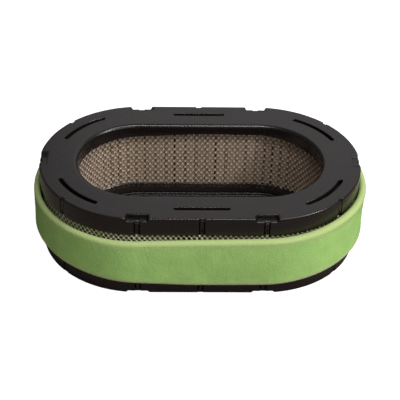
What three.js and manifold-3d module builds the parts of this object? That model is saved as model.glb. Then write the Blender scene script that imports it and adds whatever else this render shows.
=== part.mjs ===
// Oval air filter element for a small engine, with a foam pre-cleaner sleeve round it.
//
// Millimetres, +Z up. The origin is the centre of the oval on the lower sealing face. +X runs along
// the long axis of the oval. Every ring in the element follows one oval: a straight spine of half
// length SPINE on the X axis, offset outwards by a radius, so a piece is placed by its radius alone.
import * as THREE from "three";
import { mergeVertices } from "three/addons/utils/BufferGeometryUtils.js";
import Module from "manifold-3d";

const wasm = await Module();
wasm.setup();

// Driving dimensions
const CAP_LENGTH = 216; // over the ends of a cap
const CAP_WIDTH = 134; // over its straight sides
const HEIGHT = 60.5; // between the two sealing faces
const RING_WIDTH = 25.8; // from the air passage to the outer edge
const CAP_DEPTH = 13.2; // outer wall of a cap
const LIP_DEPTH = 8; // inner lip of a cap, in front of the inner liner
const LIP_THICKNESS = 3.8;
const POTTING_DEPTH = 10; // where the cast cap ends between the liners
const LINER_SEAT_DEPTH = 4.7; // end of the grooves that hold the liners' edges
const OUTER_EDGE_ROUND = 0.8;
// The two caps differ at the mouth of the passage, where the lower one has a ledge, and in how deep
// their wide notches are.
const UPPER_CAP = { round: 2.3, ledge: 0, notchDepth: 2.4 };
const LOWER_CAP = { round: 0.8, ledge: 2.7, ledgeThickness: 2, notchDepth: 1.3 };
const CLEARANCE = 0.3;
const PAST = 1; // how far a cut runs past the face it opens through

const SHEET = 0.5; // expanded steel of both liners
const LINER_LAP = 10; // how far a liner's ends overlap
const PAPER_THICKNESS = 0.45;
const PLEATS = 69;
const FOLD_WIDTH = 0.9;
const PAPER_SEAM_X = -12;
const SEAM_HALF_GAP = 0.4;
const SEAM_REACH = 9; // from the inner folds to the paper's two ends
const SEAM_CLIP = { sheet: 0.4, legs: 6, endGap: 1 };
const INNER_LAP_X = -24;
const OUTER_LAP_X = -18;

const FOAM_THICKNESS = 5.8;
const FOAM_BOTTOM = 10.8;
const FOAM_HEIGHT = 33.8;
const FOAM_EDGE_ROUND = 1.5;
const FOAM_SEAM_X = 24;
const FOAM_SEAM_FILM = 0.3;

const ARC_STEPS = 22; // facets on each half circle of an oval

// Dimensions that follow
const CAP_R = CAP_WIDTH / 2;
const SPINE = (CAP_LENGTH - CAP_WIDTH) / 2;
const PASSAGE_R = CAP_R - RING_WIDTH;
const INNER_LINER_R = PASSAGE_R + LIP_THICKNESS;
const LAP_STEP = SHEET + CLEARANCE;
const INNER_SEAT = [INNER_LINER_R - CLEARANCE, INNER_LINER_R + SHEET + LAP_STEP + CLEARANCE];
const OUTER_LINER_R = CAP_R - 1.6;
const OUTER_SEAT = [OUTER_LINER_R - SHEET - LAP_STEP - CLEARANCE, OUTER_LINER_R + CLEARANCE];
const PAPER_INNER_R = INNER_SEAT[1] + CLEARANCE;
const PAPER_OUTER_R = OUTER_SEAT[0] - CLEARANCE;
const PAPER_MID_R = (PAPER_INNER_R + PAPER_OUTER_R) / 2;
const LINER_LENGTH = HEIGHT - 2 * (LINER_SEAT_DEPTH + CLEARANCE);
const PAPER_LENGTH = HEIGHT - 2 * (POTTING_DEPTH + CLEARANCE);
const FOAM_INNER_R = CAP_R + CLEARANCE;
const FOAM_OUTER_R = FOAM_INNER_R + FOAM_THICKNESS;

// Moulded marks of a cap: slots in the sealing face, notches and grooves in its rim. A groove is a
// pair of slits down the wall with a tongue left standing between them, under a small pocket.
const SLOT_DEPTH = 3.5;
const SIDE_SLOT = { radius: CAP_R - 11, length: 36, width: 2 };
const END_SLOT = { radius: CAP_R - 10.5, from: 24.5, to: 63, width: 2.4 }; // degrees from the X axis
const WIDE_NOTCH = { width: 14, reach: 5 };
const RIM_GROOVE = { width: 4, reach: 1, tongue: 2.4, pocketDepth: 1.6 };
const QUADRANT_GROOVE_ANGLE = 43.5;

const rad = THREE.MathUtils.degToRad;

// ---- solids ----

// A closed geometry as a solid that can be cut and joined.
function solid(geometry) {
  const bare = geometry.clone();
  bare.deleteAttribute("normal");
  bare.deleteAttribute("uv");
  const merged = mergeVertices(bare, 1e-4);
  const vertProperties = merged.attributes.position.array;
  const triVerts = new Uint32Array(merged.index.array);
  return new wasm.Manifold(new wasm.Mesh({ numProp: 3, vertProperties, triVerts }));
}

function geometryOf(manifold) {
  const mesh = manifold.getMesh();
  const geometry = new THREE.BufferGeometry();
  geometry.setAttribute("position", new THREE.BufferAttribute(mesh.vertProperties, 3));
  geometry.setIndex(new THREE.BufferAttribute(mesh.triVerts, 1));
  return geometry;
}

// An outline extruded from one height to another.
function prism(shape, bottom, top) {
  const options = { depth: top - bottom, bevelEnabled: false, curveSegments: 8 };
  return new THREE.ExtrudeGeometry(shape, options).translate(0, 0, bottom);
}

// The same with its edges rounded: outwards on a body, or flared where round is negative.
function roundedPrism(shape, bottom, top, round, segments) {
  const options = {
    depth: top - bottom - 2 * Math.abs(round),
    bevelEnabled: true,
    bevelThickness: Math.abs(round),
    bevelSize: round,
    bevelSegments: segments,
  };
  return new THREE.ExtrudeGeometry(shape, options).translate(0, 0, bottom + Math.abs(round));
}

// ---- the oval ----

// Anticlockwise from the front end of the right arc.
function ovalPoints(radius) {
  const points = [];
  for (const [endX, start] of [[SPINE, -Math.PI / 2], [-SPINE, Math.PI / 2]]) {
    for (let i = 0; i <= ARC_STEPS; i += 1) {
      const angle = start + (i / ARC_STEPS) * Math.PI;
      points.push(
        new THREE.Vector2(endX + radius * Math.cos(angle), radius * Math.sin(angle)),
      );
    }
  }
  return points;
}

function ovalShape(radius) {
  return new THREE.Shape(ovalPoints(radius));
}

function ovalRing(innerRadius, outerRadius) {
  const shape = ovalShape(outerRadius);
  shape.holes.push(new THREE.Path(ovalPoints(innerRadius)));
  return shape;
}

// The point at a distance along the oval, at a radius. The distance is counted anticlockwise at
// midRadius, from a start on the straight side at the front.
function alongOval(distance, radius, midRadius, startX) {
  const half = Math.PI * midRadius;
  const full = 4 * SPINE + 2 * half;
  let s = (((distance + SPINE + startX) % full) + full) % full;
  if (s < 2 * SPINE) return new THREE.Vector2(s - SPINE, -radius);
  s -= 2 * SPINE;
  if (s < half) {
    const angle = -Math.PI / 2 + s / midRadius;
    return new THREE.Vector2(SPINE + radius * Math.cos(angle), radius * Math.sin(angle));
  }
  s -= half;
  if (s < 2 * SPINE) return new THREE.Vector2(SPINE - s, radius);
  s -= 2 * SPINE;
  const angle = Math.PI / 2 + s / midRadius;
  return new THREE.Vector2(-SPINE + radius * Math.cos(angle), radius * Math.sin(angle));
}

// The plan of a sheet that stands on edge: a centre line thickened to both sides.
function stripShape(line, thickness) {
  const left = [];
  const right = [];
  line.forEach((point, i) => {
    const before = line[Math.max(i - 1, 0)];
    const after = line[Math.min(i + 1, line.length - 1)];
    const arriving = point.clone().sub(before).normalize();
    const leaving = after.clone().sub(point).normalize();
    const along = arriving.clone().add(leaving).normalize();
    const mitre = i === 0 || i === line.length - 1 ? 1 : along.dot(leaving);
    const offset = new THREE.Vector2(-along.y, along.x).multiplyScalar(thickness / 2 / mitre);
    left.push(point.clone().add(offset));
    right.unshift(point.clone().sub(offset));
  });
  return new THREE.Shape([...left, ...right]);
}

// ---- pieces ----

function straightSlot({ length, width }) {
  const reach = (length - width) / 2;
  const shape = new THREE.Shape();
  shape.absarc(reach, 0, width / 2, -Math.PI / 2, Math.PI / 2, false);
  shape.absarc(-reach, 0, width / 2, Math.PI / 2, (3 * Math.PI) / 2, false);
  return shape;
}

function curvedSlot({ radius, from, to, width }) {
  const [a, b] = [rad(from), rad(to)];
  const half = width / 2;
  const shape = new THREE.Shape();
  const roundEnd = (at, start) => {
    const [x, y] = [radius * Math.cos(at), radius * Math.sin(at)];
    shape.absarc(x, y, half, start, start + Math.PI, false);
  };
  shape.absarc(0, 0, radius + half, a, b, false);
  roundEnd(b, b);
  shape.absarc(0, 0, radius - half, b, a, true);
  roundEnd(a, a + Math.PI);
  return shape;
}

// A block that bites into the rim from outside, at an angle about one point of the spine. It may
// stand aside of that angle.
function rimBlock(spineX, angle, { width, reach, depth, aside = 0 }) {
  const outside = 3; // how far the block stands out of the cap
  const block = new THREE.BoxGeometry(reach + outside, width, depth + outside);
  block.translate(CAP_R + (outside - reach) / 2, aside, (outside - depth) / 2);
  block.rotateZ(angle);
  return block.translate(spineX, 0, 0);
}

function rimGroove(spineX, angle) {
  const { width, reach, tongue, pocketDepth } = RIM_GROOVE;
  const slit = { width: (width - tongue) / 2, reach, depth: CAP_DEPTH + PAST };
  const aside = (width + tongue) / 4;
  return [
    rimBlock(spineX, angle, { width, reach, depth: pocketDepth }),
    rimBlock(spineX, angle, { ...slit, aside }),
    rimBlock(spineX, angle, { ...slit, aside: -aside }),
  ];
}

// A cap in its own frame: sealing face up at z = 0, the cast rim hanging below it. The mouth of the
// air passage is rounded at the sealing face, and may have a thin ledge reaching into it.
function endCap({ round, ledge, ledgeThickness, notchDepth }) {
  const below = -CAP_DEPTH - PAST;
  const overlap = 0.5;
  const wideNotch = { ...WIDE_NOTCH, depth: notchDepth };
  const bodyShape = ovalShape(CAP_R - OUTER_EDGE_ROUND);
  let cap = solid(roundedPrism(bodyShape, -CAP_DEPTH, 0, OUTER_EDGE_ROUND, 2));

  const mouth = ovalShape(PASSAGE_R - ledge + round);
  const cuts = [
    roundedPrism(mouth, -CAP_DEPTH - 2 * round, 0, -round, 3),
    prism(ovalShape(INNER_SEAT[0] + overlap), below, -LIP_DEPTH),
    prism(ovalRing(...INNER_SEAT), below, -LINER_SEAT_DEPTH),
    prism(ovalRing(...OUTER_SEAT), below, -LINER_SEAT_DEPTH),
    prism(ovalRing(INNER_SEAT[0], OUTER_SEAT[1]), below, -POTTING_DEPTH),
  ];

  if (ledge > 0) {
    cuts.push(prism(ovalShape(PASSAGE_R), below, -ledgeThickness));
  }
  for (const side of [1, -1]) {
    const slot = prism(straightSlot(SIDE_SLOT), -SLOT_DEPTH, PAST);
    cuts.push(slot.translate(0, side * SIDE_SLOT.radius, 0));
  }
  for (const endX of [SPINE, -SPINE]) {
    const outwards = endX > 0 ? 0 : Math.PI;
    for (const side of [1, -1]) {
      const slot = solid(prism(curvedSlot(END_SLOT), -SLOT_DEPTH, PAST));
      const mirrored = slot.scale([Math.sign(endX), side, 1]).translate([endX, 0, 0]);
      cuts.push(geometryOf(mirrored));
    }

    const quadrant = rad(QUADRANT_GROOVE_ANGLE);
    const wideAngles = [-Math.PI / 2, 0, Math.PI / 2];
    for (const angle of wideAngles) {
      cuts.push(rimBlock(endX, outwards + angle, wideNotch));
    }
    for (const angle of [...wideAngles, quadrant, -quadrant]) {
      cuts.push(...rimGroove(endX, outwards + angle));
    }
  }
  for (const angle of [-Math.PI / 2, Math.PI / 2]) {
    cuts.push(...rimGroove(0, angle));
  }

  for (const cut of cuts) {
    cap = cap.subtract(solid(cut));
  }
  return geometryOf(cap);
}

// A liner is one strip of sheet bent round the oval, its ends lapped on a straight side. The lap
// steps towards the paper: outwards on the inner liner, inwards on the outer one.
function liner(radius, lapStep, lapX) {
  const line = [];
  const ramp = { from: 2.5, to: 0.5 }; // where the strip steps aside, before its own other end
  const full = 4 * SPINE + 2 * Math.PI * radius;
  const at = (distance, offset) => alongOval(distance, radius + offset, radius, lapX);
  line.push(at(0, 0));
  const arc = Math.PI * radius;
  const toRightArc = SPINE - lapX;
  const toLeftArc = toRightArc + arc + 2 * SPINE;
  for (const toArc of [toRightArc, toLeftArc]) {
    for (let i = 0; i <= ARC_STEPS; i += 1) {
      line.push(at(toArc + (i / ARC_STEPS) * arc, 0));
    }
  }
  line.push(at(full - ramp.from, 0));
  line.push(at(full - ramp.to, lapStep));
  line.push(at(LINER_LAP, lapStep));
  const bottom = (HEIGHT - LINER_LENGTH) / 2;
  return prism(stripShape(line, SHEET), bottom, bottom + LINER_LENGTH);
}

// One strip of paper folded in and out all the way round. Its two ends lie side by side, pointing
// outwards, and the pleats either side stand a little further off to leave room for the clip.
function pleatedPaper() {
  const half = PAPER_THICKNESS / 2;
  const [innerR, outerR] = [PAPER_INNER_R + half, PAPER_OUTER_R - half];
  const full = 4 * SPINE + 2 * Math.PI * PAPER_MID_R;
  const pitch = full / (PLEATS + 1);
  const line = [];
  const at = (distance, radius) => {
    line.push(alongOval(distance, radius, PAPER_MID_R, PAPER_SEAM_X));
  };
  at(SEAM_HALF_GAP, innerR + SEAM_REACH);
  at(SEAM_HALF_GAP, innerR);
  at(SEAM_HALF_GAP + FOLD_WIDTH, innerR);
  for (let i = 0; i < PLEATS; i += 1) {
    const outer = (i + 1) * pitch;
    const inner = outer + pitch / 2;
    at(outer - FOLD_WIDTH / 2, outerR);
    at(outer + FOLD_WIDTH / 2, outerR);
    if (i === PLEATS - 1) break;
    at(inner - FOLD_WIDTH / 2, innerR);
    at(inner + FOLD_WIDTH / 2, innerR);
  }
  at(full - SEAM_HALF_GAP - FOLD_WIDTH, innerR);
  at(full - SEAM_HALF_GAP, innerR);
  at(full - SEAM_HALF_GAP, innerR + SEAM_REACH);
  const bottom = (HEIGHT - PAPER_LENGTH) / 2;
  return prism(stripShape(line, PAPER_THICKNESS), bottom, bottom + PAPER_LENGTH);
}

// A channel of thin steel crimped over the two ends of the paper.
function paperSeamClip() {
  const { sheet, legs, endGap } = SEAM_CLIP;
  const halfWidth = SEAM_HALF_GAP + PAPER_THICKNESS / 2 + CLEARANCE + sheet / 2;
  const paperEnd = PAPER_INNER_R + PAPER_THICKNESS / 2 + SEAM_REACH;
  const back = paperEnd + CLEARANCE + sheet / 2;
  const line = [
    [halfWidth, back - legs],
    [halfWidth, back],
    [-halfWidth, back],
    [-halfWidth, back - legs],
  ].map(([x, radius]) => new THREE.Vector2(PAPER_SEAM_X + x, -radius));
  const bottom = (HEIGHT - PAPER_LENGTH) / 2 + endGap;
  return prism(stripShape(line, sheet), bottom, bottom + PAPER_LENGTH - 2 * endGap);
}

// The foam is a flat strip closed into a loop, with a slit for the film of adhesive at its seam.
function foamSleeve() {
  const inset = FOAM_EDGE_ROUND;
  const halfSlit = FOAM_SEAM_FILM / 2 + CLEARANCE + inset;
  const inner = ovalPoints(FOAM_INNER_R + inset);
  const outer = ovalPoints(FOAM_OUTER_R - inset);
  // Both loops run anticlockwise from the near end of the right arc. The slit opens on the straight
  // side at the back, after the right arc.
  const cut = ARC_STEPS + 1;
  const around = (points, radius) => [
    new THREE.Vector2(FOAM_SEAM_X - halfSlit, radius),
    ...points.slice(cut),
    ...points.slice(0, cut),
    new THREE.Vector2(FOAM_SEAM_X + halfSlit, radius),
  ];
  const shape = new THREE.Shape([
    ...around(outer, FOAM_OUTER_R - inset),
    ...around(inner, FOAM_INNER_R + inset).reverse(),
  ]);
  return roundedPrism(shape, FOAM_BOTTOM, FOAM_BOTTOM + FOAM_HEIGHT, FOAM_EDGE_ROUND, 2);
}

function foamSeamFilm() {
  const inset = 1;
  const film = new THREE.BoxGeometry(
    FOAM_SEAM_FILM,
    FOAM_THICKNESS - 2 * inset,
    FOAM_HEIGHT - 2 * inset,
  );
  return film.translate(
    FOAM_SEAM_X,
    (FOAM_INNER_R + FOAM_OUTER_R) / 2,
    FOAM_BOTTOM + FOAM_HEIGHT / 2,
  );
}

// ---- assembly ----

function material(color, roughness, metalness = 0) {
  return new THREE.MeshStandardMaterial({ color, roughness, metalness });
}

const blackUrethane = material(0x2b2829, 0.45);
const tanPaper = material(0x8d7f6c, 0.95);
const zincSteel = material(0x8c857a, 0.5, 0.7);
const greenFoam = material(0x93b264, 1);
const clearAdhesive = material(0xb9c48e, 0.6);

function piece(name, geometry, surface) {
  const mesh = new THREE.Mesh(geometry, surface);
  mesh.name = name;
  return mesh;
}

const innerLiner = liner(INNER_LINER_R + SHEET / 2, LAP_STEP, INNER_LAP_X);
const outerLiner = liner(OUTER_LINER_R - SHEET / 2, -LAP_STEP, OUTER_LAP_X);

const element = new THREE.Group();
const upperCap = piece("upper_end_cap", endCap(UPPER_CAP), blackUrethane);
upperCap.position.z = HEIGHT;
const lowerCap = piece("lower_end_cap", endCap(LOWER_CAP), blackUrethane);
lowerCap.rotation.x = Math.PI;
const outerMesh = piece("outer_mesh_liner", outerLiner, zincSteel);
outerMesh.rotation.z = Math.PI; // its lap lies opposite the seams of the paper and the inner liner
element.add(
  upperCap,
  lowerCap,
  piece("pleated_paper", pleatedPaper(), tanPaper),
  piece("paper_seam_clip", paperSeamClip(), zincSteel),
  piece("inner_mesh_liner", innerLiner, zincSteel),
  outerMesh,
);

const preCleaner = new THREE.Group();
preCleaner.add(
  piece("foam_pre_cleaner", foamSleeve(), greenFoam),
  piece("foam_seam_film", foamSeamFilm(), clearAdhesive),
);

const airFilter = new THREE.Group();
airFilter.add(element, preCleaner);

export default airFilter;
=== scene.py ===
import math
import random

import bmesh
import bpy
import numpy as np
from mathutils import Matrix, Vector


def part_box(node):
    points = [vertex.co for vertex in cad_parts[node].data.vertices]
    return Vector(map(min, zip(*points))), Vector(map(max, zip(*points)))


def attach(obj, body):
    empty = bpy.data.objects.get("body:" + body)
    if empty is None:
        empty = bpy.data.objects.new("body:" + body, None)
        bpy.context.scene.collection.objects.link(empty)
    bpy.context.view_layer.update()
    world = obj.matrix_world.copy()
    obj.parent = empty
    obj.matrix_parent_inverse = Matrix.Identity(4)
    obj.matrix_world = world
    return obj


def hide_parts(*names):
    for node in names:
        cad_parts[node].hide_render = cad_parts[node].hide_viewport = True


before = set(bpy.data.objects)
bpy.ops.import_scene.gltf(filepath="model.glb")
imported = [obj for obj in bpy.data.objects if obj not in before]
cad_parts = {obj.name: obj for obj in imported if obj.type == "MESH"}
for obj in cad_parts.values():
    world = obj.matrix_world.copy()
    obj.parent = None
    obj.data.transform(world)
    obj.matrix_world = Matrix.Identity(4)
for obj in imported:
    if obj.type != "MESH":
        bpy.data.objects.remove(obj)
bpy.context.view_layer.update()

# ---------------------------------------------------------------- dimensions
# Lengths below are millimetres; meshes are scaled to metres as they are made.
MM = 0.001


def box_mm(node):
    low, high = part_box(node)
    return np.array(low) / MM, np.array(high) / MM


CAP_LOW, CAP_HIGH = box_mm("upper_end_cap")
FOAM_LOW, FOAM_HIGH = box_mm("foam_pre_cleaner")
_, INNER_HIGH = box_mm("inner_mesh_liner")
OUTER_LOW, OUTER_HIGH = box_mm("outer_mesh_liner")
FILM_LOW, FILM_HIGH = box_mm("foam_seam_film")

# Every ring follows one oval: a spine of half length SPINE along X, offset by a radius.
SPINE = ((FOAM_HIGH[0] - FOAM_LOW[0]) - (FOAM_HIGH[1] - FOAM_LOW[1])) / 2
HEIGHT = CAP_HIGH[2]
CAP_R = CAP_HIGH[1]
CAP_DEPTH = CAP_HIGH[2] - CAP_LOW[2]
RING_WIDTH = 25.8
PASSAGE_R = CAP_R - RING_WIDTH
# What differs between the caps: the round of the passage's mouth, the ledge that narrows it and
# that ledge's thickness, the depth of the wide notches, the depth over which the slits of the rim
# grooves fade in, and the round of the outer edge.
UPPER_CAP = {"round": 2.3, "ledge": 0.0, "notch": 2.4, "slit_fade": 0.0, "edge": 0.85}
LOWER_CAP = {
    "round": 0.8, "ledge": 2.7, "thickness": 2.0, "notch": 1.3, "slit_fade": 2.4, "edge": 0.35,
}
INNER_LINER_R = INNER_HIGH[1] - 0.25
OUTER_LINER_R = -OUTER_LOW[1] + 0.1
PAPER_INNER_R = INNER_LINER_R + 0.55
PAPER_OUTER_R = OUTER_LINER_R - 1.6
FOAM_INNER_R = CAP_R + 0.35
FOAM_OUTER_R = FOAM_HIGH[1]


def stations(s, ref):
    """Spine x and outward angle at distance s round the oval of radius ref, anticlockwise from
    the middle of the front."""
    arc = math.pi * ref
    knots = np.cumsum([0, SPINE, arc, 2 * SPINE, arc, SPINE])
    s = np.mod(s, knots[-1])
    quarter = math.pi / 2
    x = np.interp(s, knots, [0, SPINE, SPINE, -SPINE, -SPINE, 0])
    angle = np.interp(s, knots, [-quarter, -quarter, quarter, quarter, 3 * quarter, 3 * quarter])
    return x, angle


def around(ref):
    return 4 * SPINE + 2 * math.pi * ref


def swept(values, s, full):
    """A smooth closed curve through values that stand at equal steps round the oval from the
    middle of the front: right end, middle of the back and left end at each quarter."""
    values = np.asarray(values, float)
    count = len(values)
    at = np.mod(np.asarray(s) / full, 1) * count
    i = np.floor(at).astype(int)
    f = at - i
    a, b, c, d = (values[(i + k) % count] for k in (-1, 0, 1, 2))
    return b + f / 2 * (c - a + f * (2 * a - 5 * b + 4 * c - d + f * (3 * (b - c) + d - a)))


def on_oval(s, ref, radius, z):
    """Points at a radius and height, s along the oval of radius ref. Everything broadcasts."""
    x, angle = stations(s, ref)
    return np.stack(np.broadcast_arrays(x + radius * np.cos(angle), radius * np.sin(angle), z), -1)


# ---------------------------------------------------------------- meshes
def make_object(name, vertices, faces, sharp_degrees=35):
    """A smooth-shaded object from points in millimetres, creased where faces meet more sharply
    than sharp_degrees."""
    mesh = bpy.data.meshes.new(name)
    mesh.from_pydata([tuple(v) for v in np.asarray(vertices) * MM], [], faces)
    tidy = bmesh.new()
    tidy.from_mesh(mesh)
    bmesh.ops.recalc_face_normals(tidy, faces=tidy.faces)
    tidy.to_mesh(mesh)
    tidy.free()
    mesh.polygons.foreach_set("use_smooth", [True] * len(mesh.polygons))
    mesh.set_sharp_from_angle(angle=math.radians(sharp_degrees))
    made = bpy.data.objects.new(name, mesh)
    bpy.context.scene.collection.objects.link(made)
    return made


def write_values(made, name, values):
    """A number for every vertex, for the material to read."""
    made.data.attributes.new(name, "FLOAT", "POINT").data.foreach_set("value", values)


def grid_faces(rows, columns, close_rows, close_columns):
    """Quads over a grid of points numbered row by row."""
    faces = []
    for i in range(rows if close_rows else rows - 1):
        for j in range(columns if close_columns else columns - 1):
            a = i * columns + j
            b = i * columns + (j + 1) % columns
            c = ((i + 1) % rows) * columns + (j + 1) % columns
            d = ((i + 1) % rows) * columns + j
            faces.append((a, b, c, d))
    return faces


def smooth_noise(seed, count, waves, amplitude):
    """A closed random curve of count samples, as a sum of a few sine waves."""
    rng = np.random.default_rng(seed)
    turn = np.linspace(0, 2 * math.pi, count, endpoint=False)
    total = np.zeros(count)
    for wave in range(1, waves + 1):
        total += rng.normal() * np.sin(wave * turn + rng.uniform(0, 2 * math.pi)) / wave ** 0.6
    return amplitude * total / max(1e-9, np.abs(total).max())


# ---------------------------------------------------------------- end caps
# Along the rim, half is half a width. reach is how far a shape bites into the rim, and ramp the
# width of a notch's sloping side. A groove is two slits beside a tongue, which opens at its foot.
NOTCH = {"half": 7.0, "reach": 5.0, "ramp": 1.8}
GROOVE = {
    "half": 2.0, "slit_at": 1.55, "slit_half": 0.5, "reach": 1.1, "tongue_reach": 0.3,
    "tongue_foot": 1.3, "pocket": 1.6,
}
SLOT_DEPTH = 3.5
SIDE_SLOT = {"radius": CAP_R - 11, "half_length": 18.0, "half": 1.3}
END_SLOT = {"radius": CAP_R - 10.5, "from": 24.5, "to": 63.0, "half": 1.35}
# The casting climbed the inner liner unevenly: the depth of the inner lip round the oval, and
# how ragged its foot is on top of that.
UPPER_LIP = (8.5, 9.0, 9.8, 10.2, 10.0, 7.9, 7.4, 9.6, 10.2, 10.0, 9.5, 9.0)
LOWER_LIP = (7.5, 7.2, 7.0, 6.8, 6.8, 7.0, 7.4, 7.9, 8.6, 8.4, 8.0, 7.8)
LIP_RAGGED = 0.22
GROOVE_ANGLE = 43.5  # degrees from the X axis
FALL_FROM = 8.6  # depth at which the tongue of a groove starts to narrow
# Rounded edge of a slot or a notch, and of the foot of the inner lip: how far out, how far down.
BRIM = ((0.9, 0.0), (0.45, 0.0), (0.22, 0.04), (0.07, 0.16), (0.0, 0.4))
LIP_EDGE = ((1.3, 0.08), (0.4, -0.02), (0.1, -0.14), (0.0, -0.45))
FACE_RADII = (45.0, 47.0, 49.5, 52.0, 53.5)  # points across the inner half of the sealing face
POTTING = ((60.0, 10.6), (53.0, 9.2))  # the casting's back between the liners: radius, depth
SAME_PLACE = 0.01


def mirrored(s_values, full):
    """The same place in all four quarters of the oval, without repeats."""
    found = []
    for s in s_values:
        for image in (s, full / 2 - s, full / 2 + s, full - s):
            image %= full
            apart = [abs(image - other) for other in found]
            if all(SAME_PLACE < d < full - SAME_PLACE for d in apart):
                found.append(image)
    return found


def gap(s, centre, full):
    """Signed distance from centre to s the short way round."""
    return (s - centre + full / 2) % full - full / 2


def ramped(inside, depth):
    """Depth of a wide notch, a distance inside its side: a soft slope about the side."""
    share = min(1.0, max(0.0, inside / NOTCH["ramp"] + 0.5))
    return depth * share * share * (3 - 2 * share)


def cap_layout():
    """The length of the rim, and the places on it of its wide notches, grooves and slots. A slot
    is (middle, half length, its kind, its own oval's length over the rim's)."""
    full = around(CAP_R)
    quarter = math.pi / 2 * CAP_R
    groove_at = SPINE + quarter - math.radians(GROOVE_ANGLE) * CAP_R
    notches = mirrored([SPINE, SPINE + quarter], full)
    grooves = mirrored([0, SPINE, groove_at, SPINE + quarter], full)
    scale = END_SLOT["radius"] / CAP_R
    slot_span = [SPINE + quarter - math.radians(END_SLOT[key]) * CAP_R for key in ("to", "from")]
    middle = sum(slot_span) / 2
    half_length = (slot_span[1] - slot_span[0]) / 2 * scale
    slots = [(s, SIDE_SLOT["half_length"], SIDE_SLOT, 1.0) for s in mirrored([0], full)]
    slots += [(s, half_length, END_SLOT, scale) for s in mirrored([middle], full)]
    return full, notches, grooves, slots


def cap_stations(full, notches, grooves, slots):
    """Distances round the rim, close together wherever a moulded edge crosses it."""
    across_ramp = (-0.5, -0.35, -0.2, 0.0, 0.2, 0.35, 0.5)  # in widths of a notch's ramp
    across_slit = (-0.5, -0.25, 0.0, 0.25, 0.5)
    across_tongue = (-0.8, -0.4, 0.0, 0.4, 0.8)
    into_slot = (-0.1, 0.0, 0.03, 0.15, 0.4, 0.7, 1.0, 1.3)  # in half widths of the slot
    cuts = list(np.arange(0, full, 2.2))
    for centre in notches:
        for side in (-1, 1):
            cuts += [centre + side * (NOTCH["half"] - d * NOTCH["ramp"]) for d in across_ramp]
    for centre in grooves:
        for side in (-1, 1):
            cuts += [centre + side * (GROOVE["slit_at"] + d) for d in across_slit]
        cuts += [centre + d for d in across_tongue]
    for centre, half_length, slot, scale in slots:
        for side in (-1, 1):
            ends = [half_length - slot["half"] * t for t in into_slot]
            cuts += [centre + side * e / scale for e in ends]
    cuts = np.unique(np.round(np.mod(cuts, full), 3))
    return cuts[np.concatenate(([True], np.diff(cuts) > 0.012))]


def groove_reach(off, depth, top, fade):
    """How far a rim groove bites in: two V slits beside a tongue. The tongue starts below a small
    pocket and falls away near the mesh; the slits fade out towards a face where fade is given."""
    from_slit = abs(off) - GROOVE["slit_at"]
    reach = GROOVE["reach"] * max(0.0, 1 - abs(from_slit) / GROOVE["slit_half"])
    if from_slit < 0:
        falls = max(0.0, depth - FALL_FROM) / (CAP_DEPTH - FALL_FROM)
        if depth < top + GROOVE["pocket"] or abs(off) < GROOVE["tongue_foot"] * falls:
            reach = GROOVE["reach"]
        else:
            reach = max(reach, GROOVE["tongue_reach"])
    if fade:
        reach *= min(1.0, 0.25 + 0.75 * max(0.0, depth - top) / fade)
    return reach


def cap_section(lip, kind, notch, slot_r, slot_half, slot_depth, groove_off):
    """(radius, depth below the sealing face) round the section of a cap, from the foot of the
    inner lip up, over the sealing face, down the outer wall and back under the casting. notch and
    slot_depth are 0 away from a notch or a slot; groove_off is how far along the rim the middle
    of a groove is, or None."""
    section = [
        (INNER_LINER_R - 0.2, lip + 0.9),
        (INNER_LINER_R - 0.7, lip + 0.35),
    ]
    section += [(PASSAGE_R + out, lip + down) for out, down in LIP_EDGE]
    section += [(PASSAGE_R, 5.4), (PASSAGE_R, 4.1)]
    mouth_r = PASSAGE_R - kind["ledge"]
    if kind["ledge"]:
        deep = kind["thickness"]
        section += [(PASSAGE_R, deep + 0.3), (PASSAGE_R - 0.3, deep)]
        section += [(mouth_r + 0.3, deep), (mouth_r, deep - 0.3)]
    for turn in np.linspace(0, math.pi / 2, 9):
        out = kind["round"] * (1 - math.cos(turn))
        section.append((mouth_r + out, kind["round"] * (1 - math.sin(turn))))
    section += [(r, 0.0) for r in FACE_RADII]

    on = slot_depth / SLOT_DEPTH
    section += [(slot_r - slot_half - out, on * down) for out, down in BRIM]
    inset = min(0.1, slot_half * 0.4)
    section += [
        (slot_r - slot_half + inset, slot_depth),
        (slot_r, slot_depth),
        (slot_r + slot_half - inset, slot_depth),
    ]
    section += [(slot_r + slot_half + out, on * down) for out, down in reversed(BRIM)]

    wall_r = CAP_R - NOTCH["reach"]
    sunk_share = min(1.0, notch / BRIM[-1][1])
    section += [(wall_r - 1.2, 0.0)]
    section += [(wall_r - out, sunk_share * down) for out, down in BRIM[1:]]
    section += [(wall_r + 0.12, notch), (wall_r + 1.2, notch), (wall_r + 2.0, notch)]

    edge = kind["edge"]
    rim = [(CAP_R - 1.4, notch)]
    for turn in np.linspace(0, math.pi / 2, 5):
        rim.append((CAP_R - edge * (1 - math.sin(turn)), notch + edge * (1 - math.cos(turn))))
    foot = CAP_DEPTH - 0.5
    start = notch + edge
    rim += [(CAP_R, start + (foot - start) * t) for t in np.linspace(0.08, 1, 12)]
    rim += [(CAP_R - 0.12, CAP_DEPTH - 0.16), (CAP_R - 0.45, CAP_DEPTH)]
    if groove_off is not None:
        fade = kind["slit_fade"]
        rim = [(r - groove_reach(groove_off, z, notch, fade), z) for r, z in rim]
    section += rim

    foot_r = min(OUTER_LINER_R + 0.2, rim[-1][0] - 0.15)
    section += [
        (foot_r, CAP_DEPTH - 0.1),
        (foot_r - 1.0, CAP_DEPTH - 0.8),
        *POTTING,
        (INNER_LINER_R + 1.2, 8.0),
    ]
    return section


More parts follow.
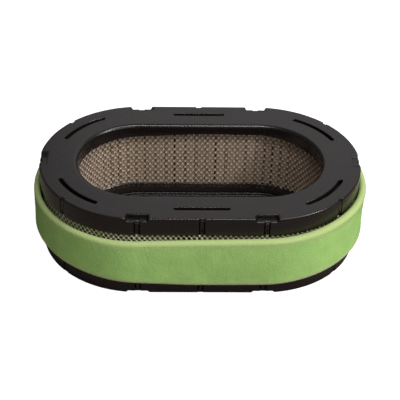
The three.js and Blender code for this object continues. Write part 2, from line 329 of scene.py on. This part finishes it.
def end_cap(name, lips, kind, seed):
    """A cast cap, its sealing face at z = 0 and its body below. lips are the depths of the inner
    lip round the oval."""
    full, notches, grooves, slots = cap_layout()
    cuts = cap_stations(full, notches, grooves, slots)
    rng = np.random.default_rng(seed)
    ragged = np.convolve(rng.normal(size=len(cuts)), (0.25, 0.5, 0.25), "same") * LIP_RAGGED
    lip_depths = swept(lips, cuts, full) + ragged
    straight = np.abs(stations(cuts, CAP_R)[0]) < SPINE - 1
    slot_radii = np.where(straight, SIDE_SLOT["radius"], END_SLOT["radius"])
    sections = []
    for s, lip, slot_r in zip(cuts, lip_depths, slot_radii):
        notch = max(ramped(NOTCH["half"] - abs(gap(s, c, full)), kind["notch"]) for c in notches)
        offsets = [gap(s, c, full) for c in grooves]
        nearest = min(offsets, key=abs)
        groove_off = nearest if abs(nearest) < GROOVE["half"] + 0.1 else None
        slot_half, slot_depth = 1.0, 0.0
        for centre, half_length, slot, scale in slots:
            half = slot["half"]
            inside = half_length - abs(gap(s, centre, full)) * scale
            if inside > -0.001:
                short = max(0.0, 1 - inside / half)
                slot_half = half * math.sqrt(max(0.01, 1 - short * short))
                slot_depth = SLOT_DEPTH
        sections.append(cap_section(lip, kind, notch, slot_r, slot_half, slot_depth, groove_off))
    sections = np.array(sections)
    points = on_oval(cuts[:, None], CAP_R, sections[..., 0], -sections[..., 1])
    rows, columns = sections.shape[:2]
    faces = grid_faces(rows, columns, True, True)
    return make_object(name, points.reshape(-1, 3), faces, 38)


# ---------------------------------------------------------------- mesh liners
LAP = {"step": 0.8, "columns": 3, "rise_before": 2.5, "rise": 2.0}
INNER_LAP_X = -24
OUTER_LAP_X = 18
INNER_CELL = (3.95, 5.1)  # width and height of one diamond
OUTER_CELL = (3.3, 4.4)
STRAND = {"open": 0.72, "blunt": 0.1, "twist": 0.2, "thickness": 0.24, "knuckle": 0.3}
# One tile of the sheet in half cells from its middle: point, side, point, side, anticlockwise.
TILE_RIM = (
    (1, 0), (0.5, 0.5), (0, 1), (-0.5, 0.5), (-1, 0), (-0.5, -0.5), (0, -1), (0.5, -0.5),
)


def diamond_hole(centre):
    """Corners of one opening, in half cells from its centre, with its points cut blunt."""
    blunt = STRAND["blunt"]
    size = STRAND["open"]
    corners = []
    for x, z in ((1, 0), (0, 1), (-1, 0), (0, -1)):
        side = (-z, x)
        for turn in (-1, 1):
            corners.append(
                (
                    centre[0] + size * (x * (1 - blunt) + side[0] * turn * blunt),
                    centre[1] + size * (z * (1 - blunt) + side[1] * turn * blunt),
                )
            )
    return corners


def mesh_liner(name, radius, low, high, start_s, cell_size, face, seed):
    """Expanded metal: a sheet of staggered diamonds, bent round the oval with its ends lapped. The
    knuckles stand proud on its open face, 1 for outwards, and the lap steps the other way."""
    rng = random.Random(seed)
    columns = round(around(radius) / cell_size[0])
    cell = around(radius) / columns
    rows = round((high - low) / cell_size[1])
    cell_height = (high - low) / rows
    vertices = []
    knuckle_highlights = []  # painted highlight: 1 where strands meet, less along them
    faces = []
    known = {}
    walls = {}  # by edge; an edge that only one tile has is on the edge of the sheet

    def place(x, z, layer, lift, knuckle_highlight=0.0):
        """A point of the flat sheet, x and z in half cells, on the oval."""
        along = x * cell / 2
        past = along - around(radius) + LAP["rise_before"]
        step = -face * LAP["step"] * min(1.0, max(0.0, past / LAP["rise"]))
        height = low + z * cell_height / 2
        out = radius + step + lift + layer * STRAND["thickness"] / 2
        vertices.append(on_oval(start_s + along, radius, out, height))
        knuckle_highlights.append(knuckle_highlight)
        return len(vertices) - 1

    def shared(x, z, layer):
        """A point on the rim of a tile, made once for the tiles that meet there."""
        key = (round(4 * x), round(4 * z), layer)
        if key not in known:
            if float(x).is_integer():
                known[key] = place(x, z, layer, face * STRAND["knuckle"], 1.0)
            else:
                known[key] = place(x, z, layer, 0.0, 0.3)
        return known[key]

    for z in range(1, 2 * rows):
        for x in range(1, 2 * (columns + LAP["columns"])):
            if (x + z) % 2 == 0:
                continue
            rim = [(x + dx, z + dz) for dx, dz in TILE_RIM]
            hole = diamond_hole((x, z))  # its corners come in pairs about each point
            jitter = rng.uniform(0.85, 1.15)
            rings = {}
            for layer in (-1, 1):
                outer = [shared(px, pz, layer) for px, pz in rim]
                inner = [
                    place(px, pz, layer, STRAND["twist"] * jitter * (pz - z) / STRAND["open"])
                    for px, pz in hole
                ]
                rings[layer] = (outer, inner)
                for k in range(4):
                    point, side = outer[2 * k], outer[2 * k + 1]
                    following = outer[(2 * k + 2) % 8]
                    a, b = inner[2 * k], inner[2 * k + 1]
                    c = inner[(2 * k + 2) % 8]
                    quads = [(a, b, point), (point, b, side), (b, c, side), (side, c, following)]
                    faces.extend(q if layer > 0 else q[::-1] for q in quads)
            (front_rim, front_hole), (back_rim, back_hole) = rings[1], rings[-1]
            for k in range(8):
                after = (k + 1) % 8
                faces.append((front_hole[k], back_hole[k], back_hole[after], front_hole[after]))
                wall = (front_rim[k], front_rim[after], back_rim[after], back_rim[k])
                walls.setdefault(frozenset(wall[:2]), []).append(wall)
    faces += [found[0] for found in walls.values() if len(found) == 1]
    liner = make_object(name, np.array(vertices), faces, 40)
    write_values(liner, "knuckle_highlight", knuckle_highlights)
    return liner


# ---------------------------------------------------------------- pleated paper
PAPER = {"pleats": 69, "thickness": 0.45, "inner_half": 3.0, "outer_half": 2.9, "bulge": 0.9}
PAPER_SEAM = {"x": -12, "half_gap": 0.4, "reach": 9.0}
PAPER_SET_IN = 7.0  # how deep the paper's edges lie, cast into the caps


def fold(s, half, radius, direction):
    """A fold pressed against a liner, as (distance, radius): broad, with rounded corners.
    direction is 1 where the fold faces outwards."""
    shape = ((-1, 1.0), (-0.92, 0.45), (-0.6, 0.12), (0, 0.0), (0.6, 0.12), (0.92, 0.45), (1, 1.0))
    return [(s + half * x, radius - direction * PAPER["bulge"] * deep) for x, deep in shape]


def pleated_paper(name, low, high):
    """One strip folded in and out. The folds fill out behind the liners and nearly meet, and the
    gaps between them vary, as they do once the pleats are squeezed in."""
    rng = np.random.default_rng(11)
    ref = (PAPER_INNER_R + PAPER_OUTER_R) / 2
    full = around(ref)
    pitch = full / (PAPER["pleats"] + 1)
    half = PAPER["thickness"] / 2
    inner_r, outer_r = PAPER_INNER_R + half, PAPER_OUTER_R - half
    gap_half = PAPER_SEAM["half_gap"]
    reach = PAPER_SEAM["reach"]
    line = [(gap_half, inner_r + out) for out in (reach, reach / 2, 0.6)]
    line.append((gap_half + 0.4, inner_r))
    squeeze = rng.uniform(0.0, 1.0, PAPER["pleats"]) ** 2
    last = PAPER["pleats"] - 1
    for pleat in range(PAPER["pleats"]):
        outer_s = (pleat + 1) * pitch + rng.normal() * 0.2
        inner_s = (pleat + 1.5) * pitch + rng.normal() * 0.15
        outer_half = PAPER["outer_half"] * rng.uniform(0.9, 1.05)
        inner_half = PAPER["inner_half"] + 0.42 - 0.7 * squeeze[pleat]
        if pleat in (0, last):  # beside the seam the folds are narrower and keep off it
            outer_half *= 0.7
            outer_s += 0.6 if pleat == 0 else -0.6
        line += fold(outer_s, outer_half, outer_r - abs(rng.normal()) * 0.12, 1)
        if pleat < last:
            line += fold(inner_s, inner_half, inner_r + abs(rng.normal()) * 0.12, -1)
    line.append((full - gap_half - 0.4, inner_r))
    line += [(full - gap_half, inner_r + out) for out in (0.6, reach / 2, reach)]
    line = np.array(line)
    start = PAPER_SEAM["x"]

    steps = 10
    rows = []
    for row, z in enumerate(np.linspace(low, high, steps + 1)):
        sway = 0.16 * np.sin(line[:, 0] * 0.9 + row * 0.8) * math.sin(math.pi * row / steps)
        plan = on_oval(start + line[:, 0] + sway, ref, line[:, 1], z)
        along = np.gradient(plan[:, :2], axis=0)
        along /= np.linalg.norm(along, axis=1)[:, None]
        side = np.stack([-along[:, 1], along[:, 0], np.zeros(len(along))], 1) * half
        rows.append(np.concatenate([plan + side, (plan - side)[::-1]]))
    rows = np.array(rows)
    count, columns = rows.shape[:2]
    faces = grid_faces(count, columns, False, True)
    for base in (0, (count - 1) * columns):
        for k in range(columns // 2 - 1):
            faces.append((base + k, base + k + 1, base + columns - 2 - k, base + columns - 1 - k))
    return make_object(name, rows.reshape(-1, 3), faces, 60)


# ---------------------------------------------------------------- foam
# The sleeve sits unevenly: its two rims and its girth, at twelve places round the oval.
FOAM_RIM = (45.9, 47.0, 48.6, 46.6, 45.7, 45.0, 44.6, 44.4, 44.4, 44.3, 44.4, 44.4)
FOAM_FOOT = (10.3, 11.0, 13.6, 13.2, 12.0, 10.8, 10.6, 11.2, 13.4, 15.2, 15.0, 12.4)
FOAM_TOP_R = (73.0, 73.0, 72.8, 72.0, 72.8, 73.0, 73.0, 73.0, 72.2, 71.5, 72.0, 72.6)
FOAM_MIDDLE_R = (73.2, 73.2, 72.6, 70.9, 71.4, 73.0, 73.1, 73.0, 72.0, 71.6, 72.4, 73.0)
FOAM_FOOT_R = (72.9, 72.9, 72.9, 71.4, 71.2, 72.6, 72.8, 72.8, 71.8, 72.0, 72.8, 72.9)
FOAM_ROUND = 2.4
FOAM_WAVER = 0.22
HALF_SLIT = 0.25  # half the gap between the strip's two ends, which the glue line fills


def foam_outer(up, top, middle, foot):
    """Outer radius at a share of the height, through three known radii."""
    return foot + up * (4 * middle - 3 * foot - top) + up ** 2 * 2 * (foot + top - 2 * middle)


def foam_sleeve(name):
    """A strip of foam closed into a loop: soft corners, slow waver and a pulled-in girth."""
    count = 640
    full = around(FOAM_OUTER_R)
    seam = full / 2 - (FILM_LOW[0] + FILM_HIGH[0]) / 2
    s = np.linspace(seam + HALF_SLIT, seam + full - HALF_SLIT, count)
    low = swept(FOAM_FOOT, s, full) + smooth_noise(5, count, 14, FOAM_WAVER)
    high = swept(FOAM_RIM, s, full) + smooth_noise(6, count, 14, FOAM_WAVER)
    radii = [swept(r, s, full) for r in (FOAM_TOP_R, FOAM_MIDDLE_R, FOAM_FOOT_R)]
    waver = smooth_noise(3, count, 16, FOAM_WAVER)
    up = np.linspace(0, 1, 21)
    turn = np.linspace(0, math.pi / 2, 7)
    # Round the section from the outer foot: outer face, rim, inner face, foot. Each point is a
    # share of the height, a share of the thickness and an offset of the corner's rounding.
    corners = ((0, 1, -math.pi / 2), (1, 1, 0), (1, 0, math.pi / 2), (0, 0, math.pi))
    columns = []
    for up_share, out_share, start in corners:
        for t in turn:
            columns.append((up_share, out_share, math.cos(start + t), math.sin(start + t)))
        if (up_share, out_share) == (0, 1):
            columns += [(u, 1, None, None) for u in up[2:-2]]
        if (up_share, out_share) == (1, 0):
            columns += [(u, 0, None, None) for u in up[2:-2][::-1]]
    grain = np.random.default_rng(8)
    points = []
    for up_share, out_share, across, rise in columns:
        outer = foam_outer(up_share, *radii) + waver
        radius = outer if out_share else np.full(count, FOAM_INNER_R)
        z = low + (high - low) * up_share
        if across is not None:
            radius = radius + FOAM_ROUND * (across - (1 if out_share else -1))
            z = z + FOAM_ROUND * (rise - (1 if up_share else -1))
        radius = radius + grain.normal(size=count) * 0.05 * out_share
        points.append(on_oval(s, FOAM_OUTER_R, radius, z))
    points = np.stack(points, 1)
    rows, width = points.shape[:2]
    faces = grid_faces(rows, width, False, True)
    faces.append(tuple(range(width)))
    faces.append(tuple(range((rows - 1) * width, rows * width))[::-1])
    sleeve = make_object(name, points.reshape(-1, 3), faces, 60)
    share = (points[..., 2] - low[:, None]) / (high - low)[:, None]
    write_values(sleeve, "up_share", share.ravel())
    return sleeve


def seam_film(name):
    """The line of adhesive that closes the foam strip: thin, a little ragged at its edges."""
    low, high = FILM_LOW, FILM_HIGH
    rng = np.random.default_rng(14)
    rows = 40
    z = np.linspace(low[2], high[2], rows)
    half = (high[0] - low[0]) / 2
    middle = (high[0] + low[0]) / 2
    points = []
    for height in z:
        thin = half * rng.uniform(0.6, 0.95)
        near = low[1] + rng.uniform(0.0, 0.5)
        far = high[1] - rng.uniform(0.0, 0.5)
        for x, y in ((-1, near), (1, near), (1, far), (-1, far)):
            points.append((middle + x * thin, y, height))
    faces = grid_faces(rows, 4, False, True)
    faces += [(3, 2, 1, 0), tuple(range(4 * rows - 4, 4 * rows))]
    return make_object(name, points, faces, 60)


# ---------------------------------------------------------------- paper seam clip
CLIP = {"sheet": 0.4, "pinch": 0.064, "pinch_pitch": 7.5, "bend": 0.35, "inner_bend": 0.15}


def seam_clip(name):
    """A thin steel channel crimped over the paper's two ends, its legs pinched at intervals."""
    low, high = box_mm("paper_seam_clip")
    sheet, bend, inner_bend = CLIP["sheet"], CLIP["bend"], CLIP["inner_bend"]
    legs = high[1] - low[1]
    middle = (low[0] + high[0]) / 2
    half = (high[0] - low[0]) / 2
    rows = 60
    points = []
    for height in np.linspace(low[2], high[2], rows):
        wave = math.sin(2 * math.pi * height / CLIP["pinch_pitch"])
        outer = half - CLIP["pinch"] * max(0.0, wave) ** 3
        inner = outer - sheet
        section = [
            (-outer, legs), (-inner, legs), (-inner, sheet + inner_bend),
            (-inner + inner_bend, sheet), (inner - inner_bend, sheet),
            (inner, sheet + inner_bend), (inner, legs), (outer, legs),
            (outer, bend), (outer - 0.1, 0.1), (outer - bend, 0),
            (-outer + bend, 0), (-outer + 0.1, 0.1), (-outer, bend),
        ]
        points += [(middle + x, low[1] + y, height) for x, y in section]
    width = len(section)
    faces = grid_faces(rows, width, False, True)
    for base in (0, (rows - 1) * width):
        left = [base + k for k in (0, 1, 2, 3, 12, 13)]
        bridge = [base + k for k in (3, 4, 11, 12)]
        right = [base + k for k in (4, 5, 6, 7, 8, 9, 10, 11)]
        faces += [left, bridge, right]
    return make_object(name, points, faces, 40)


# ---------------------------------------------------------------- materials
def new_material(name, roughness, metallic=0.0, specular=0.5):
    made = bpy.data.materials.new(name)
    made.use_nodes = True
    shader = made.node_tree.nodes["Principled BSDF"]
    shader.inputs["Roughness"].default_value = roughness
    shader.inputs["Metallic"].default_value = metallic
    shader.inputs["Specular IOR Level"].default_value = specular
    return made, made.node_tree, shader


def add_node(tree, kind, **inputs):
    node = tree.nodes.new(kind)
    for key, value in inputs.items():
        node.inputs[key.replace("_", " ")].default_value = value
    return node


def object_coordinates(tree):
    return tree.nodes.new("ShaderNodeTexCoord").outputs["Object"]


def noise(tree, scale, detail=2.0, rough=0.5):
    node = add_node(tree, "ShaderNodeTexNoise", Scale=scale, Detail=detail, Roughness=rough)
    tree.links.new(object_coordinates(tree), node.inputs["Vector"])
    return node.outputs["Fac"]


def ramp(tree, value, *stops):
    node = tree.nodes.new("ShaderNodeValToRGB")
    elements = node.color_ramp.elements
    while len(elements) < len(stops):
        elements.new(0.5)
    for element, (position, colour) in zip(elements, stops):
        element.position = position
        element.color = (*colour, 1)
    tree.links.new(value, node.inputs["Fac"])
    return node.outputs["Color"]


def grey(level):
    return (level, level, level)


def attribute(tree, name):
    node = tree.nodes.new("ShaderNodeAttribute")
    node.attribute_name = name
    return node.outputs["Fac"]


def mixed(tree, first, second, share=None):
    """The second colour over the first by share, or the two multiplied where there's none."""
    node = tree.nodes.new("ShaderNodeMix")
    node.data_type = "RGBA"
    if share is None:
        node.blend_type = "MULTIPLY"
        node.inputs["Factor"].default_value = 1.0
    else:
        tree.links.new(share, node.inputs["Factor"])
    tree.links.new(first, node.inputs["A"])
    tree.links.new(second, node.inputs["B"])
    return node.outputs["Result"]


def paint(tree, shader, colour):
    tree.links.new(colour, shader.inputs["Base Color"])


def bump(tree, shader, height, strength, distance, after=None):
    node = add_node(tree, "ShaderNodeBump", Strength=strength, Distance=distance)
    tree.links.new(height, node.inputs["Height"])
    if after is not None:
        tree.links.new(after, node.inputs["Normal"])
    tree.links.new(node.outputs["Normal"], shader.inputs["Normal"])
    return node.outputs["Normal"]


def urethane():
    """Cast black urethane: satin, faintly uneven, with a fine skin."""
    made, tree, shader = new_material("black_urethane", 0.28, specular=0.39)
    patches = noise(tree, 45.0, 3.0)
    colour = ramp(tree, patches, (0.3, (0.0046, 0.0028, 0.0026)), (0.7, (0.0062, 0.004, 0.0036)))
    paint(tree, shader, colour)
    fine = noise(tree, 900.0, 4.0, 0.6)
    rough = ramp(tree, fine, (0.3, grey(0.23)), (0.75, grey(0.32)))
    tree.links.new(rough, shader.inputs["Roughness"])
    first = bump(tree, shader, fine, 0.05, 0.0002)
    bump(tree, shader, patches, 0.06, 0.001, first)
    return made


def steel_mesh(name, darker, lighter):
    """Expanded steel: darker along its strands and lighter where they meet, a painted highlight on
    the knuckles, under faint random grime.
    """
    made, tree, shader = new_material(name, 0.5, metallic=0.25)
    # Painted highlight: the knuckles lighter than the strands.
    metal = ramp(tree, attribute(tree, "knuckle_highlight"), (0.1, darker), (0.75, lighter))
    grime = ramp(tree, noise(tree, 120.0, 3.0), (0.3, grey(0.8)), (0.7, grey(1.0)))
    paint(tree, shader, mixed(tree, metal, grime))
    bump(tree, shader, noise(tree, 1500.0, 2.0), 0.2, 0.0001)
    return made


def filter_paper():
    made, tree, shader = new_material("filter_paper", 0.9, specular=0.2)
    fibres = noise(tree, 1400.0, 6.0, 0.7)
    paint(tree, shader, ramp(tree, fibres, (0.3, (0.32, 0.24, 0.17)), (0.7, (0.43, 0.33, 0.245))))
    bump(tree, shader, fibres, 0.4, 0.0002)
    return made


def foam_material():
    """Green open-cell foam: beige towards its foot; paler and yellower towards its top rim, a
    painted sheen; darker in its pores, painted shade.
    """
    made, tree, shader = new_material("green_foam", 0.95, specular=0.1)
    clouds = noise(tree, 90.0, 3.0)
    base = ramp(tree, clouds, (0.3, (0.285, 0.48, 0.145)), (0.7, (0.335, 0.545, 0.165)))
    share = attribute(tree, "up_share")
    # Painted sheen: paler and yellower towards the top rim; beige towards the foot.
    foot_tint_and_rim_sheen = ramp(tree, share, (0.03, grey(0.9)), (0.13, grey(0)), (0.82, grey(0)), (0.97, grey(1)))
    foot_and_rim_colour = ramp(tree, share, (0.3, (0.45, 0.46, 0.26)), (0.7, (0.33, 0.42, 0.165)))
    cells = add_node(tree, "ShaderNodeTexVoronoi", Scale=1100.0)
    tree.links.new(object_coordinates(tree), cells.inputs["Vector"])
    # Painted shade: darker in the pores.
    pore_shade = ramp(tree, cells.outputs["Distance"], (0.0, grey(0.75)), (0.45, grey(1.0)))
    paint(tree, shader, mixed(tree, mixed(tree, base, foot_and_rim_colour, foot_tint_and_rim_sheen), pore_shade))
    bump(tree, shader, cells.outputs["Distance"], 0.4, 0.0003)
    return made


def two_tone(name, roughness, scale, darker, lighter, metallic=0.0):
    made, tree, shader = new_material(name, roughness, metallic)
    paint(tree, shader, ramp(tree, noise(tree, scale), (0.3, darker), (0.7, lighter)))
    return made


# ---------------------------------------------------------------- the pieces
def finish_piece(piece, surface, slot, body, *nodes):
    piece.data.materials.clear()
    piece.data.materials.append(surface)
    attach(piece, body)
    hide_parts(*nodes)


black = urethane()
upper = end_cap("upper_cap", UPPER_LIP, UPPER_CAP, 31)
lower = end_cap("lower_cap", LOWER_LIP, LOWER_CAP, 32)
upper.data.transform(Matrix.Translation((0, 0, HEIGHT * MM)))
lower.data.transform(Matrix.Rotation(math.pi, 4, "X"))
finish_piece(upper, black, "black_urethane", "element", "upper_end_cap")
finish_piece(lower, black, "black_urethane", "element", "lower_end_cap")

# Two copies of one steel: the outer liner's is painted lighter and greener, painted light on its
# strip under the caps' overhang.
inner_steel = steel_mesh("expanded_steel", (0.26, 0.2, 0.15), (0.95, 0.78, 0.62))
steel_painted_lighter = steel_mesh("expanded_steel_painted_lighter", (0.3, 0.28, 0.18), (0.95, 0.9, 0.66))
low, high = OUTER_LOW[2], OUTER_HIGH[2]
inner_mesh = mesh_liner("inner_liner", INNER_LINER_R, low, high, INNER_LAP_X, INNER_CELL, -1, 21)
outer_start = around(OUTER_LINER_R) / 2 - OUTER_LAP_X
outer_mesh = mesh_liner("outer_liner", OUTER_LINER_R, low, high, outer_start, OUTER_CELL, 1, 22)
finish_piece(inner_mesh, inner_steel, "expanded_steel", "element", "inner_mesh_liner")
finish_piece(outer_mesh, steel_painted_lighter, "expanded_steel", "element", "outer_mesh_liner")

paper = pleated_paper("folded_paper", PAPER_SET_IN, HEIGHT - PAPER_SET_IN)
finish_piece(paper, filter_paper(), "filter_paper", "element", "pleated_paper")

clip = seam_clip("crimped_clip")
plated = two_tone("plated_steel", 0.35, 400.0, (0.4, 0.39, 0.36), (0.55, 0.54, 0.5), metallic=0.9)
finish_piece(clip, plated, "plated_steel", "element", "paper_seam_clip")

foam = foam_sleeve("foam_sleeve")
finish_piece(foam, foam_material(), "green_foam", "pre_cleaner", "foam_pre_cleaner")

film = seam_film("seam_film")
glue = two_tone("seam_adhesive", 0.45, 300.0, (0.3, 0.36, 0.14), (0.42, 0.47, 0.22))
finish_piece(film, glue, "seam_adhesive", "pre_cleaner", "foam_seam_film")

# ---------------------------------------------------------------- camera
# The camera looks from in front and above at a point of the oval's axis, at the height aim.
CAMERA = {
    "distance": 0.75257, "elevation": 36.174, "yaw": 1.85, "roll": 1.382,
    "lens": 98.25, "shift": (0.00133, -0.01274), "aim": 0.0304,
}


def place_camera():
    e, yaw, roll = (math.radians(CAMERA[key]) for key in ("elevation", "yaw", "roll"))
    forward = Vector((math.cos(e) * math.sin(yaw), math.cos(e) * math.cos(yaw), -math.sin(e)))
    level_right = Vector((math.cos(yaw), -math.sin(yaw), 0))
    level_up = level_right.cross(forward)
    right = level_right * math.cos(roll) + level_up * math.sin(roll)
    up = level_up * math.cos(roll) - level_right * math.sin(roll)
    data = bpy.data.cameras.new("camera")
    data.lens = CAMERA["lens"]
    data.sensor_width = 36
    data.shift_x, data.shift_y = CAMERA["shift"]
    data.clip_start = 0.01
    camera = bpy.data.objects.new("camera", data)
    bpy.context.scene.collection.objects.link(camera)
    rotation = Matrix((right, up, -forward)).transposed().to_4x4()
    place = Vector((0, 0, CAMERA["aim"])) - forward * CAMERA["distance"]
    camera.matrix_world = Matrix.Translation(place) @ rotation
    bpy.context.scene.camera = camera


# ---------------------------------------------------------------- stage and light
SHEET_RADII = (60.0, 90.0, 200.0, 600.0, 2000.0, 6000.0)


def make_sheet(name, hole_r, depth, colours, glow):
    """A wide level sheet of the stage round an oval hole, a little below the standing face, that
    glows by itself as strongly as glow says."""
    s = np.linspace(0, around(CAP_R), 73)[:-1, None]
    radii = np.array([hole_r, *SHEET_RADII])
    points = on_oval(s, CAP_R, radii, -depth).reshape(-1, 3)
    sheet = make_object(name, points, grid_faces(len(s), len(radii), True, False))
    made, tree, shader = new_material(name, 0.9, specular=0.1)
    paint(tree, shader, ramp(tree, noise(tree, 3.0), (0.3, colours[0]), (0.7, colours[1])))
    shader.inputs["Emission Color"].default_value = (1, 1, 1, 1)
    shader.inputs["Emission Strength"].default_value = glow
    sheet.data.materials.append(made)
    return sheet


def make_stage():
    """A white light table that the camera sees, and under it the warm grey floor that light meets,
    so that the white of the table isn't thrown back onto the cartridge. The table is open under
    the air passage, where the camera sees the darker floor instead: painted shade in the
    passage."""
    # The hole under the passage shows the darker floor: painted shade in the passage.
    table = make_sheet("light_table", PASSAGE_R, 0.05, (grey(0.29), grey(0.31)), 0.97)
    table.visible_diffuse = False
    table.visible_glossy = False
    table.visible_shadow = False
    make_sheet("floor", 0.0, 0.5, ((0.19, 0.155, 0.14), (0.205, 0.17, 0.155)), 0.0)


def soft_light(name, position, size, power, aim=0.03):
    """A rectangular light turned towards the axis of the oval, at the height aim."""
    data = bpy.data.lights.new(name, "AREA")
    data.shape = "RECTANGLE"
    data.size, data.size_y = size
    data.energy = power
    light = bpy.data.objects.new(name, data)
    light.location = position
    toward = Vector((0, 0, aim)) - Vector(position)
    light.rotation_euler = toward.to_track_quat("-Z", "Y").to_euler()
    bpy.context.scene.collection.objects.link(light)


def light_scene():
    world = bpy.data.worlds.new("studio")
    world.use_nodes = True
    background = world.node_tree.nodes["Background"]
    background.inputs["Color"].default_value = (1, 1, 1, 1)
    background.inputs["Strength"].default_value = 0.18
    bpy.context.scene.world = world
    soft_light("overhead", (0.45, -0.1, 1.2), (0.7, 0.6), 6.5)
    soft_light("front_strip", (0.05, -0.5, 1.15), (0.35, 0.12), 6)
    soft_light("front_fill", (0.75, -1.05, 0.6), (1.3, 0.9), 5.5)
    soft_light("key", (0.9, -0.45, 0.8), (0.2, 0.2), 9)
    soft_light("back", (0.45, 1.2, 1.0), (1.6, 0.7), 2.5, aim=0.05)
    bpy.context.scene.view_settings.view_transform = "Standard"


place_camera()
make_stage()
light_scene()
